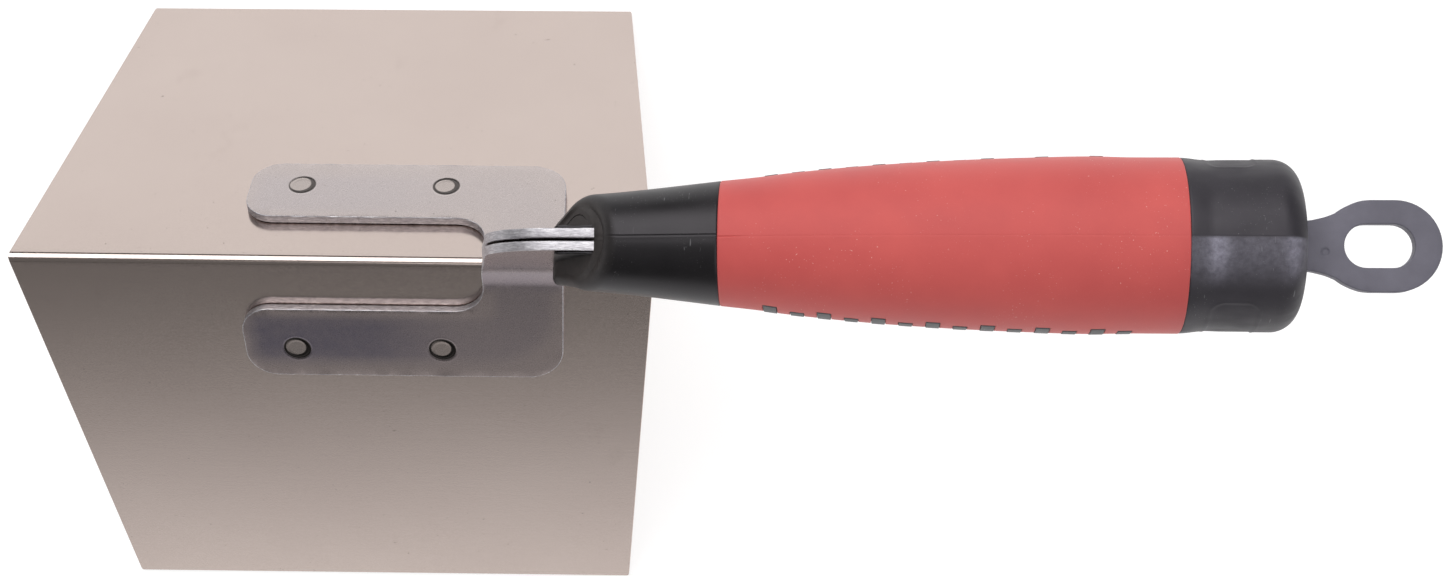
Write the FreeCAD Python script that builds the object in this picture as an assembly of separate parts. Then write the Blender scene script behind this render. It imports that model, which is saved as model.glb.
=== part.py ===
import FreeCAD, Part
import math
import os
from FreeCAD import Vector

os.makedirs("parts", exist_ok=True)

# Outside corner trowel: a bent stainless blade, a two-piece welded bracket whose
# tang runs into a moulded handle with a soft sleeve, an end cap and a hang tab.
#
# Working frame: x runs back from the blade's front edge, y across the blade,
# z up from the outer ridge line. Everything is moved to the row frame when it
# is written: origin under the middle of the part, z = 0 at the leaf edges.

# ---- blade, mm ----
RIDGE_LEN = 127.0          # along the fold, 5 in
LEAF_WIDTH = 88.9          # from fold to leaf edge, 3.5 in
BLADE_T = 0.75
FRONT_SLANT = 10.5         # how far the front edge leans back at the leaf edge
REAR_SLANT = 8.5
BEND_R = 1.45              # outer radius of the fold
CORNER_CUT = 0.6           # small break on the leaf corners

# ---- bracket, mm ----
PLATE_T = 1.9
SEAT_GAP = 0.05            # between plate and blade
TANG_GAP = 0.20            # between the two tang plates
ARM_FRONT = 44.3
ARM_INNER = 11.2           # distance from the fold, measured on the leaf
ARM_OUTER = 28.6
ARM_CORNER_R = 6.0
CROTCH_X = 93.3
CROTCH_R = 6.5
BRACKET_REAR = 109.0
ROOT_BEND_R = 9.0          # outer surface, leaf to tang
TANG_HALF_H = 5.9          # tang height inside the handle, half
TANG_END = 166.0

# ---- welds, mm ----
WELD_R = 2.6
WELD_S = 21.4              # distance from the fold
WELD_X = (54.8, 84.0)
WELD_DEPTH = 0.35          # into each sheet
DIMPLE_R = 2.75            # electrode mark on the plate
DIMPLE_DEPTH = 0.25
TANG_WELD_R = 2.4
TANG_WELD_AT = ((100.5, 22.0), (104.5, 10.0), (128.0, 33.5))

# ---- handle, mm ----
AXIS_X = 111.0             # a point on the handle axis
AXIS_Z = 32.8
AXIS_RISE = 2.4            # degrees, the rear end is the higher one
FIT = 0.05                 # clearance between moulded pieces
NOSE_REAR = 140.6
GRIP_REAR = 221.7
CAP_END = 243.05
SPINDLE_R = 8.2
SPINDLE_END = 235.0
CHIN_X = 108.5             # lowest point of the nose's front face
CHIN_Z = 12.0
KNEE_X = 109.9             # where the front face turns from leaning to steep
KNEE_Z = 24.0
FACE_X = 118.1             # where the front face meets the tang's top edge
FACE_Z = 39.0
CHIN_HALF = 3.2            # half width of the flat under the nose
NOSE = (                   # x, radius, drop of the flat below the round part
    (103.0, 8.0, 14.5),
    (109.0, 8.2, 12.4),
    (115.0, 8.55, 9.0),
    (121.0, 9.0, 5.2),
    (127.0, 9.6, 2.2),
    (133.0, 10.3, 0.5),
    (140.6, 11.2, 0.0),
)
GRIP = (                   # x, radius
    (140.6, 11.2),
    (147.2, 11.9),
    (152.5, 12.6),
    (163.2, 13.7),
    (173.8, 14.5),
    (184.5, 15.1),
    (195.1, 15.5),
    (205.8, 15.75),
    (214.0, 15.6),
    (221.7, 15.6),
)
CAP_FRONT_R = 15.55
CAP_R = 15.25
CAP_ROUND = 4.6
BAR_COUNT = 14             # core bars that show through each side of the grip
BAR_X = (149.6, 212.0)     # first and last bar
BAR_WIDE = 2.4
BAR_TALL = 8.0
BAR_SHORT = 5.4            # every other bar
BAR_PROUD = 0.15

# ---- hang tab, mm ----
TAB_T = 2.6
TAB_R = 8.13
TAB_C = (255.0, 259.3)     # centres of the ring's two ends
TAB_NECK = 4.5             # half width
TAB_ROOT = 236.2
HOLE_R = 3.88
HOLE_C = (254.3, 258.8)

OVERALL = TAB_C[1] + TAB_R
EDGE_DROP = LEAF_WIDTH * math.sqrt(0.5) + BLADE_T * math.sqrt(0.5)
C45 = math.sqrt(0.5)


def save(name, shape):
    """Move a shape to the row frame and write it."""
    placed = shape.copy()
    placed.translate(Vector(-OVERALL / 2.0, 0, EDGE_DROP))
    placed.exportStep("parts/" + name + ".step")


def rounded_wire(corners):
    """Closed wire in the xy plane from (x, y, radius) corners."""
    edges = []
    ends = []
    n = len(corners)
    for i in range(n):
        before = Vector(corners[i - 1][0], corners[i - 1][1], 0)
        here = Vector(corners[i][0], corners[i][1], 0)
        after = Vector(corners[(i + 1) % n][0], corners[(i + 1) % n][1], 0)
        radius = corners[i][2]
        if radius <= 0:
            ends.append((here, here))
            continue
        into = (here - before).normalize()
        out = (after - here).normalize()
        half = into.getAngle(out) / 2.0
        reach = radius * math.tan(half)
        start = here - into * reach
        stop = here + out * reach
        to_centre = (out - into).normalize()
        centre = here + to_centre * (radius / math.cos(half))
        middle = centre - to_centre * radius
        edges.append((i, Part.Arc(start, middle, stop).toShape()))
        ends.append((start, stop))
    loop = []
    arcs = dict(edges)
    for i in range(n):
        if i in arcs:
            loop.append(arcs[i])
        a = ends[i][1]
        b = ends[(i + 1) % n][0]
        if (b - a).Length > 1e-6:
            loop.append(Part.makeLine(a, b))
    return Part.Wire(loop)


def prism(corners, height):
    """Rounded outline in the xy plane, extruded up by height."""
    return Part.Face(rounded_wire(corners)).extrude(Vector(0, 0, height))


def on_leaf(shape, lift):
    """Lay a shape drawn in (x, s) on the +y leaf, lift above the blade."""
    laid = shape.copy()
    laid.rotate(Vector(0, 0, 0), Vector(1, 0, 0), -45)
    laid.translate(Vector(0, lift * C45, lift * C45))
    return laid


def upright(shape, y):
    """Stand a shape drawn in (x, z) up in the xz plane, from y backwards."""
    stood = shape.copy()
    stood.rotate(Vector(0, 0, 0), Vector(1, 0, 0), 90)
    stood.translate(Vector(0, y, 0))
    return stood


def mirrored(shape):
    return shape.mirror(Vector(0, 0, 0), Vector(0, 1, 0))


def along_axis(shape):
    """Turn a shape drawn about the x axis onto the handle axis."""
    turned = shape.copy()
    turned.translate(Vector(-AXIS_X, 0, 0))
    turned.rotate(Vector(0, 0, 0), Vector(0, 1, 0), -AXIS_RISE)
    turned.translate(Vector(AXIS_X, 0, AXIS_Z))
    return turned


def axis_z(x):
    return AXIS_Z + (x - AXIS_X) * math.tan(math.radians(AXIS_RISE))


def revolved(profile):
    """Solid of revolution about the x axis from (x, r) points."""
    points = [Vector(x, r, 0) for x, r in profile]
    first = Vector(profile[0][0], 0, 0)
    last = Vector(profile[-1][0], 0, 0)
    edges = [Part.makeLine(first, points[0])]
    if len(points) > 2:
        curve = Part.BSplineCurve()
        curve.interpolate(points)
        edges.append(curve.toShape())
    else:
        edges.append(Part.makeLine(points[0], points[1]))
    edges.append(Part.makeLine(points[-1], last))
    edges.append(Part.makeLine(last, first))
    face = Part.Face(Part.Wire(edges))
    return face.revolve(Vector(0, 0, 0), Vector(1, 0, 0), 360)


# ---------------------------------------------------------------- blade

def weld_plug(x, radius, low, high, side=1):
    """Round plug square to a leaf, between two heights above the blade."""
    plug = Part.makeCylinder(radius, high - low, Vector(x, WELD_S, low))
    laid = on_leaf(plug, 0)
    return laid if side > 0 else mirrored(laid)


def make_blade():
    w = LEAF_WIDTH * C45
    t = BLADE_T * C45
    outline = [
        Vector(0, w, -w),
        Vector(0, 0, 0),
        Vector(0, -w, -w),
        Vector(0, -w + t, -w - t),
        Vector(0, 0, -2 * t),
        Vector(0, w - t, -w - t),
    ]
    face = Part.Face(Part.makePolygon(outline + [outline[0]]))
    sheet = face.extrude(Vector(RIDGE_LEN, 0, 0))
    outer = [e for e in sheet.Edges if on_ridge(e, 0)]
    sheet = sheet.makeFillet(BEND_R, outer)
    inner = [e for e in sheet.Edges if on_ridge(e, -2 * t)]
    sheet = sheet.makeFillet(BEND_R - BLADE_T, inner)
    c = CORNER_CUT
    plan = [
        (0, 0, 0),
        (FRONT_SLANT, w, c),
        (RIDGE_LEN - REAR_SLANT, w, c),
        (RIDGE_LEN, 0, 0),
        (RIDGE_LEN - REAR_SLANT, -w, c),
        (FRONT_SLANT, -w, c),
    ]
    trim = prism(plan, 200)
    trim.translate(Vector(0, 0, -150))
    blade = sheet.common(trim)
    for x in WELD_X:
        for side in (1, -1):
            blade = blade.cut(weld_plug(x, WELD_R, -WELD_DEPTH, 1, side))
    return blade


def on_ridge(edge, z):
    if len(edge.Vertexes) != 2:
        return False
    a = edge.Vertexes[0].Point
    b = edge.Vertexes[1].Point
    level = abs(a.z - z) < 1e-4 and abs(b.z - z) < 1e-4
    return level and abs(a.y) < 1e-4 and abs(b.y) < 1e-4


# -------------------------------------------------------------- bracket

def root_points():
    """Where the leaf-to-tang bend starts and ends, on both plate faces."""
    top = SEAT_GAP + PLATE_T
    y_out = TANG_GAP / 2.0 + PLATE_T
    z_meet = 2 * top * C45 - y_out
    reach = ROOT_BEND_R * math.tan(math.radians(22.5))
    centre = Vector(0, y_out + ROOT_BEND_R, z_meet + reach)
    return centre


def root_bend():
    """Bent strip and the vertical plate above it, as one swept section."""
    centre = root_points()
    small = ROOT_BEND_R
    big = ROOT_BEND_R + PLATE_T

    def at(radius, degrees):
        a = math.radians(degrees)
        return centre + Vector(0, -radius * math.cos(a), -radius * math.sin(a))

    high = 60.0
    edges = [
        Part.makeLine(Vector(0, at(small, 0).y, high), at(small, 0)),
        Part.Arc(at(small, 0), at(small, 22.5), at(small, 45)).toShape(),
        Part.makeLine(at(small, 45), at(big, 45)),
        Part.Arc(at(big, 45), at(big, 22.5), at(big, 0)).toShape(),
        Part.makeLine(at(big, 0), Vector(0, at(big, 0).y, high)),
        Part.makeLine(Vector(0, at(big, 0).y, high), Vector(0, at(small, 0).y, high)),
    ]
    face = Part.Face(Part.Wire(edges))
    swept = face.extrude(Vector(200, 0, 0))
    start = (at(big, 45).y - at(big, 45).z) * C45
    return swept, start


def tang_outline():
    """Side view of the tang, (x, z, radius) corners."""
    rear_top = axis_z(TANG_END) + 3.6
    rear_low = axis_z(TANG_END) - 3.6
    return [
        (CROTCH_X, -12.0, 0),
        (CROTCH_X, -1.0, 10.0),
        (98.8, 38.0, 14.0),
        (114.0, 39.0, 0),
        (TANG_END, rear_top, 3.0),
        (TANG_END, rear_low, 3.0),
        (118.0, axis_z(118.0) - TANG_HALF_H, 6.0),
        (BRACKET_REAR, 12.0, 8.0),
        (BRACKET_REAR, -12.0, 0),
    ]


def make_bracket_half():
    swept, start = root_bend()
    side = upright(prism(tang_outline(), 40), 20)
    tang = swept.common(side)
    front = ARM_FRONT
    leaf = [
        (BRACKET_REAR, start, 0),
        (BRACKET_REAR, ARM_OUTER, ARM_CORNER_R),
        (front, ARM_OUTER, ARM_CORNER_R),
        (front, ARM_INNER, ARM_CORNER_R),
        (CROTCH_X, ARM_INNER, CROTCH_R - 0.2),
        (CROTCH_X, start, 0),
    ]
    arm = on_leaf(prism(leaf, PLATE_T), SEAT_GAP)
    half = arm.fuse(tang).removeSplitter()
    top = SEAT_GAP + PLATE_T
    for x in WELD_X:
        half = half.cut(weld_plug(x, WELD_R, -1, SEAT_GAP + WELD_DEPTH))
        half = half.cut(weld_plug(x, DIMPLE_R, top - DIMPLE_DEPTH, top + 1))
    for x, z in TANG_WELD_AT:
        half = half.cut(tang_plug(x, z, WELD_DEPTH + TANG_GAP / 2.0))
    return half


def tang_plug(x, z, half_length):
    plug = Part.makeCylinder(TANG_WELD_R, 2 * half_length)
    plug.rotate(Vector(0, 0, 0), Vector(1, 0, 0), -90)
    plug.translate(Vector(x, -half_length, z))
    return plug


def make_leaf_welds():
    high = SEAT_GAP + WELD_DEPTH
    plugs = []
    for x in WELD_X:
        for side in (1, -1):
            plugs.append(weld_plug(x, WELD_R, -WELD_DEPTH, high, side))
    return Part.makeCompound(plugs)


def make_tang_welds():
    half = WELD_DEPTH + TANG_GAP / 2.0
    return Part.makeCompound([tang_plug(x, z, half) for x, z in TANG_WELD_AT])


# --------------------------------------------------------------- handle

def nose_reach(a, radius, drop):
    """Distance from the axis to the nose's skin at angle a: round, tapering down to a flat."""
    c = abs(math.cos(a))
    s = -math.sin(a)
    if s <= 0:
        return radius
    deep = radius + drop
    half = CHIN_HALF * min(1.0, drop / 5.0)
    corner = math.atan2(deep, half)
    tangent = corner - math.acos(radius / math.hypot(half, deep))
    below = math.atan2(s, c)
    if below <= tangent:
        return radius
    if below <= corner:
        return radius / math.cos(below - tangent)
    return deep / s


def nose_section(x, radius, drop):
    points = []
    count = 48
    for i in range(count):
        a = 2.0 * math.pi * i / count
        reach = nose_reach(a, radius, drop)
        points.append(Vector(x, reach * math.cos(a), reach * math.sin(a)))
    curve = Part.BSplineCurve()
    curve.interpolate(points, PeriodicFlag=True)
    return Part.Wire([curve.toShape()])


def front_of_face():
    """Everything in front of the nose's front face."""
    chin = Vector(CHIN_X, -40, CHIN_Z)
    knee = Vector(KNEE_X, -40, KNEE_Z)
    face = Vector(FACE_X, -40, FACE_Z)
    low = chin + (chin - knee)
    high = face + (face - knee)
    back = Vector(-60, 0, 0)
    corners = [low, knee, high, high + back, low + back, low]
    return Part.Face(Part.makePolygon(corners)).extrude(Vector(0, 80, 0))


def make_core(tang):
    wires = [nose_section(*row) for row in NOSE]
    nose = along_axis(Part.makeLoft(wires, True, False))
    nose = nose.cut(front_of_face())
    under = Part.makeBox(60, 60, 40, Vector(90, -30, CHIN_Z - 40))
    nose = nose.cut(under)
    spindle = Part.makeCylinder(
        SPINDLE_R, SPINDLE_END - NOSE_REAR + 2, Vector(NOSE_REAR - 2, 0, 0), Vector(1, 0, 0))
    core = nose.fuse(along_axis(spindle))
    for bar in side_bars(0.0):
        core = core.fuse(along_axis(bar))
    return core.cut(tang)


def side_bars(clearance):
    """Bars across the core, or with a clearance the windows for them."""
    bars = []
    step = (BAR_X[1] - BAR_X[0]) / (BAR_COUNT - 1)
    wide = BAR_WIDE + 2 * clearance
    for i in range(BAR_COUNT):
        tall = (BAR_SHORT if i % 2 else BAR_TALL) + 2 * clearance
        x = BAR_X[0] + i * step
        r = grip_radius(x) + BAR_PROUD + clearance
        bars.append(Part.makeBox(
            wide, 2 * r, tall, Vector(x - wide / 2.0, -r, -tall / 2.0)))
    return bars


def grip_radius(x):
    for (x0, r0), (x1, r1) in zip(GRIP, GRIP[1:]):
        if x0 <= x <= x1:
            return r0 + (r1 - r0) * (x - x0) / (x1 - x0)
    return GRIP[-1][1]


def make_grip():
    body = revolved(GRIP)
    for window in side_bars(FIT):
        body = body.cut(window)
    length = GRIP_REAR - NOSE_REAR + 2
    bore = Part.makeCylinder(
        SPINDLE_R + FIT, length, Vector(NOSE_REAR - 1, 0, 0), Vector(1, 0, 0))
    body = body.cut(bore)
    ends = Part.makeBox(
        GRIP_REAR - NOSE_REAR - 2 * FIT, 60, 60, Vector(NOSE_REAR + FIT, -30, -30))
    return along_axis(body.common(ends))


def make_cap(tab):
    r1 = CAP_FRONT_R
    r2 = CAP_R
    turn = CAP_END - 0.9 - CAP_ROUND
    tilt = CAP_ROUND * (1.0 - C45)
    edges = [
        Part.makeLine(Vector(GRIP_REAR, 0, 0), Vector(GRIP_REAR, r1, 0)),
        Part.makeLine(Vector(GRIP_REAR, r1, 0), Vector(turn, r2, 0)),
        Part.Arc(Vector(turn, r2, 0),
                 Vector(turn + CAP_ROUND - tilt, r2 - tilt, 0),
                 Vector(turn + CAP_ROUND, r2 - CAP_ROUND, 0)).toShape(),
        Part.Arc(Vector(turn + CAP_ROUND, r2 - CAP_ROUND, 0),
                 Vector(CAP_END - 0.22, (r2 - CAP_ROUND) / 2.0, 0),
                 Vector(CAP_END, 0, 0)).toShape(),
        Part.makeLine(Vector(CAP_END, 0, 0), Vector(GRIP_REAR, 0, 0)),
    ]
    face = Part.Face(Part.Wire(edges))
    cap = face.revolve(Vector(0, 0, 0), Vector(1, 0, 0), 360)
    socket = Part.makeCylinder(
        SPINDLE_R + FIT, SPINDLE_END + 0.2 - GRIP_REAR + 1, Vector(GRIP_REAR - 1, 0, 0), Vector(1, 0, 0))
    return along_axis(cap.cut(socket)).cut(tab)


def make_tab(clearance=0.0):
    """Flat ring on a neck; with a clearance it is the cutter for its slot."""
    k = clearance
    ring = Part.makeCylinder(TAB_R + k, TAB_T + 2 * k, Vector(TAB_C[0], 0, 0))
    ring = ring.fuse(Part.makeCylinder(TAB_R + k, TAB_T + 2 * k, Vector(TAB_C[1], 0, 0)))
    middle = Part.makeBox(
        TAB_C[1] - TAB_C[0], 2 * (TAB_R + k), TAB_T + 2 * k, Vector(TAB_C[0], -TAB_R - k, 0))
    ring = ring.fuse(middle)
    flare = [
        (TAB_ROOT, -TAB_NECK - k, 0),
        (246.6, -TAB_NECK - k, 6.0),
        (252.2, -TAB_R, 0),
        (252.2, TAB_R, 0),
        (246.6, TAB_NECK + k, 6.0),
        (TAB_ROOT, TAB_NECK + k, 0),
    ]
    neck = prism(flare, TAB_T + 2 * k)
    trim = Part.makeBox(40, 2 * (TAB_R + k), 20, Vector(TAB_ROOT, -TAB_R - k, -10))
    tab = ring.fuse(neck.common(trim)).removeSplitter()
    if clearance == 0:
        tab = tab.cut(hang_hole())
    tab.translate(Vector(0, 0, -TAB_T / 2.0 - k))
    return along_axis(tab)


def hang_hole():
    high = TAB_T + 2
    hole = Part.makeCylinder(HOLE_R, high, Vector(HOLE_C[0], 0, -1))
    hole = hole.fuse(Part.makeCylinder(HOLE_R, high, Vector(HOLE_C[1], 0, -1)))
    slot = Part.makeBox(
        HOLE_C[1] - HOLE_C[0], 2 * HOLE_R, high, Vector(HOLE_C[0], -HOLE_R, -1))
    return hole.fuse(slot)


def tang_cutter():
    """Space for both tang plates in the handle core."""
    wide = TANG_GAP + 2 * PLATE_T + 2 * FIT
    return upright(prism(tang_outline(), wide), wide / 2.0)


def main():
    half = make_bracket_half()
    save("blade", make_blade())
    save("bracket_left", half)
    save("bracket_right", mirrored(half))
    save("leaf_welds", make_leaf_welds())
    save("tang_welds", make_tang_welds())
    save("handle_core", make_core(tang_cutter()))
    save("grip_sleeve", make_grip())
    save("end_cap", make_cap(make_tab(FIT)))
    save("hang_tab", make_tab())


main()
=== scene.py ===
import math

import bmesh
import bpy
from mathutils import Matrix, Vector, noise as field
from mathutils.geometry import delaunay_2d_cdt


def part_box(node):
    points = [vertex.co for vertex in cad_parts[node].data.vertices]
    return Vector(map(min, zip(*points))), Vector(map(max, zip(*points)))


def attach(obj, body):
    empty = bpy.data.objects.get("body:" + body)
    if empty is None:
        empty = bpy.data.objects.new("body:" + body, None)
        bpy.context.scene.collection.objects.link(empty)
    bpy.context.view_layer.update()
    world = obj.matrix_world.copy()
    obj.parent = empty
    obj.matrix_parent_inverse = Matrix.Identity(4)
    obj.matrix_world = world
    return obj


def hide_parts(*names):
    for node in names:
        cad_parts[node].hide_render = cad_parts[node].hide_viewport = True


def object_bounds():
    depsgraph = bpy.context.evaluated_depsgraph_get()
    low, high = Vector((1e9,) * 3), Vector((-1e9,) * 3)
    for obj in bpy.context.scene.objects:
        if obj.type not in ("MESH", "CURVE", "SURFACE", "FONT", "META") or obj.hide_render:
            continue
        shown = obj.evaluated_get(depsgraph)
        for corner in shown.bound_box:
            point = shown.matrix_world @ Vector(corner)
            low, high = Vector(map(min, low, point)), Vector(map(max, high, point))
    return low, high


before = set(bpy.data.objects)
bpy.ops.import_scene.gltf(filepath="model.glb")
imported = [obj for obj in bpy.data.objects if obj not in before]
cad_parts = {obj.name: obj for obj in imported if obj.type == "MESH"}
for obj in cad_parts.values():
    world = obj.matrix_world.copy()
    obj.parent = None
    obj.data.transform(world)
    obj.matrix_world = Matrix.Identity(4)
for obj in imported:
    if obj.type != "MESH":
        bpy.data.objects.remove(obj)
cad_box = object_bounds()

# All shape numbers are in millimetres in the working frame: x back from the blade's
# front edge, y across, z up from the outer ridge line. place() moves them to the row frame.
# Materials work in metres.
MM = 0.001
C45 = math.sqrt(0.5)

# Blade: the fold's length, a leaf's width, the sheet, how far its ends slant back, the bend
RIDGE_LEN, LEAF_WIDTH, BLADE_T = 127.0, 88.9, 0.75
FRONT_SLANT, REAR_SLANT, BEND_R = 10.5, 8.5, 1.45
# its small faults: ends out of square, the fold's sideways wander, leaves splayed at the edge
END_SKEW, FOLD_DRIFT, SPREAD = 0.0105, 0.4, 0.35

# Bracket plates: thickness, clearance on the leaf and between the tangs, then the outline
PLATE_T, SEAT_GAP, TANG_GAP = 1.9, 0.05, 0.20
ARM_FRONT, ARM_INNER, ARM_OUTER, ARM_CORNER_R = 44.3, 11.2, 28.6, 6.0
CROTCH_X, CROTCH_R, BRACKET_REAR, ROOT_BEND_R = 93.3, 6.3, 109.0, 9.0
TANG_HALF_H = 5.9

# Handle: its axis, where each part ends, and the three corners of the nose's front face
AXIS_X, AXIS_Z, AXIS_RISE = 111.0, 32.8, math.radians(2.4)
NOSE_REAR, GRIP_REAR, CAP_END = 140.6, 221.7, 243.05
SPINDLE_R = 8.2
CHIN_X, CHIN_Z, KNEE_X, KNEE_Z, FACE_X, FACE_Z = 108.5, 12.0, 109.9, 24.0, 118.1, 39.0
CHIN_HALF, NOSE_ROLL = 3.2, math.radians(6.5)

# Raised bars on both flanks of the grip; LEFT_LEAN turns the left row towards the underside
BAR_COUNT, BAR_FIRST, BAR_LAST, BAR_WIDE = 14, 149.6, 212.0, 2.4
BAR_TALL, BAR_SHORT = 8.0, 5.4
LEFT_LEAN = math.radians(8.0)

blade_lo, blade_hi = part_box("blade")
X0 = blade_lo[0]
Z0 = blade_hi[2] + BEND_R * (math.sqrt(2.0) - 1.0) * MM


def place(x, y, z):
    return (X0 + x * MM, y * MM, Z0 + z * MM)


def axis_z(x):
    return AXIS_Z + (x - AXIS_X) * math.tan(AXIS_RISE)


def place_axis(x, y, z):
    """A point given about the handle axis, z measured square to it."""
    c, s = math.cos(AXIS_RISE), math.sin(AXIS_RISE)
    dx = x - AXIS_X
    return place(AXIS_X + dx * c - z * s, y, AXIS_Z + dx * s + z * c)


def about_axis(x, r, a):
    """A point at a radius and an angle about the handle axis."""
    return place_axis(x, r * math.cos(a), r * math.sin(a))


def smooth_table(table, x, column=1):
    """Monotone cubic reading of a table of rows sorted by their first value."""
    n = len(table)
    if x <= table[0][0]:
        return table[0][column]
    if x >= table[-1][0]:
        return table[-1][column]
    i = max(k for k in range(n - 1) if table[k][0] <= x)

    def slope(k):
        if k <= 0:
            return (table[1][column] - table[0][column]) / (table[1][0] - table[0][0])
        if k >= n - 1:
            return (table[-1][column] - table[-2][column]) / (table[-1][0] - table[-2][0])
        a = (table[k][column] - table[k - 1][column]) / (table[k][0] - table[k - 1][0])
        b = (table[k + 1][column] - table[k][column]) / (table[k + 1][0] - table[k][0])
        return 0.0 if a * b <= 0 else 2.0 * a * b / (a + b)

    h = table[i + 1][0] - table[i][0]
    t = (x - table[i][0]) / h
    y0, y1 = table[i][column], table[i + 1][column]
    m0, m1 = slope(i) * h, slope(i + 1) * h
    return ((2 * t**3 - 3 * t**2 + 1) * y0 + (t**3 - 2 * t**2 + t) * m0
            + (-2 * t**3 + 3 * t**2) * y1 + (t**3 - t**2) * m1)


def smoothstep(a, b, x):
    t = min(1.0, max(0.0, (x - a) / (b - a)))
    return t * t * (3.0 - 2.0 * t)


# ---------- mesh helpers

SAME_POINT = 1e-5


def link(obj):
    bpy.context.scene.collection.objects.link(obj)


def add_mask(obj, values):
    """Gives every vertex a number from 0 to 1 that the materials can read."""
    shade = obj.data.attributes.new("mask", "FLOAT", "POINT")
    shade.data.foreach_set("value", values)


def weighted_normals(obj):
    obj.modifiers.new("weighted", "WEIGHTED_NORMAL").keep_sharp = True


def new_piece(name, verts, faces, materials, sharp, face_slots=None):
    """A smooth-shaded mesh object, with edges over sharp degrees kept crisp."""
    mesh = bpy.data.meshes.new(name)
    mesh.from_pydata(verts, [], faces)
    obj = bpy.data.objects.new(name, mesh)
    link(obj)
    for m in materials:
        mesh.materials.append(m)
    if face_slots:
        mesh.polygons.foreach_set("material_index", face_slots)
    bm = bmesh.new()
    bm.from_mesh(mesh)
    bmesh.ops.recalc_face_normals(bm, faces=bm.faces)
    limit = math.radians(sharp)
    for e in bm.edges:
        e.smooth = not (len(e.link_faces) == 2 and e.calc_face_angle(0.0) > limit)
    for f in bm.faces:
        f.smooth = True
    bm.to_mesh(mesh)
    bm.free()
    return obj


def rounded_outline(corners, step=1.2, arc_steps=12):
    """Points along a closed outline of (x, y, radius) corners."""
    arcs = []
    n = len(corners)
    for i in range(n):
        before, here, after = (Vector(corners[(i + k) % n][:2]) for k in (-1, 0, 1))
        r = corners[i][2]
        into, out = (here - before).normalized(), (after - here).normalized()
        arc = [here]
        if r > 0:
            half = into.angle(out) / 2.0
            reach = r * math.tan(half)
            start, stop = here - into * reach, here + out * reach
            centre = here + (out - into).normalized() * (r / math.cos(half))
            a0 = math.atan2(start.y - centre.y, start.x - centre.x)
            a1 = math.atan2(stop.y - centre.y, stop.x - centre.x)
            a1 -= 2 * math.pi * round((a1 - a0) / (2 * math.pi))
            turns = [a0 + (a1 - a0) * k / arc_steps for k in range(arc_steps + 1)]
            arc = [centre + Vector((r * math.cos(a), r * math.sin(a))) for a in turns]
        arcs.append(arc)
    loop = []
    for i in range(n):
        loop.extend(arcs[i])
        a, b = arcs[i][-1], arcs[(i + 1) % n][0]
        count = max(1, int(round((b - a).length / step)))
        loop.extend(a.lerp(b, k / count) for k in range(1, count))
    clean = []
    for p in loop:
        if not clean or (p - clean[-1]).length > SAME_POINT:
            clean.append(p)
    if (clean[0] - clean[-1]).length < SAME_POINT:
        clean.pop()
    return clean


def signed_area(loop):
    """Positive for a loop that runs anticlockwise."""
    pairs = zip(loop, loop[1:] + loop[:1])
    return 0.5 * sum(a.x * b.y - b.x * a.y for a, b in pairs)


def inset(loop, distance, is_hole):
    """Moves a loop into the material by a distance, less far at sharp corners."""
    n = len(loop)
    turn = 1.0 if (signed_area(loop) > 0) != is_hole else -1.0
    moved = []
    for i in range(n):
        a, b, c = loop[i - 1], loop[i], loop[(i + 1) % n]
        t0, t1 = (b - a).normalized(), (c - b).normalized()
        n0, n1 = Vector((-t0.y, t0.x)) * turn, Vector((-t1.y, t1.x)) * turn
        m = n0 + n1
        m = m / max(0.3, m.length_squared / 2.0)
        moved.append(b + m * distance)
    return moved


def inside(p, loop):
    hit = False
    for a, b in zip(loop, loop[1:] + loop[:1]):
        if (a.y > p.y) != (b.y > p.y):
            if p.x < (b.x - a.x) * (p.y - a.y) / (b.y - a.y) + a.x:
                hit = not hit
    return hit


def nearest(p, loop):
    return min((p - q).length for q in loop)


def grid_points(outer, inner_loops, extra, pitch):
    """The extra points and a square grid, clear of them and of the plate's edges."""
    xs, ys = [p.x for p in outer], [p.y for p in outer]
    grid = list(extra)
    x = min(xs)
    while x < max(xs):
        y = min(ys)
        while y < max(ys):
            p = Vector((x, y))
            if all(inside(p, l) != (k > 0) for k, l in enumerate(inner_loops)):
                if min(nearest(p, l) for l in inner_loops) > 0.45 * pitch:
                    if not extra or min((p - q).length for q in extra) > 0.4 * pitch:
                        grid.append(p)
            y += pitch
        x += pitch
    return grid


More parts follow.
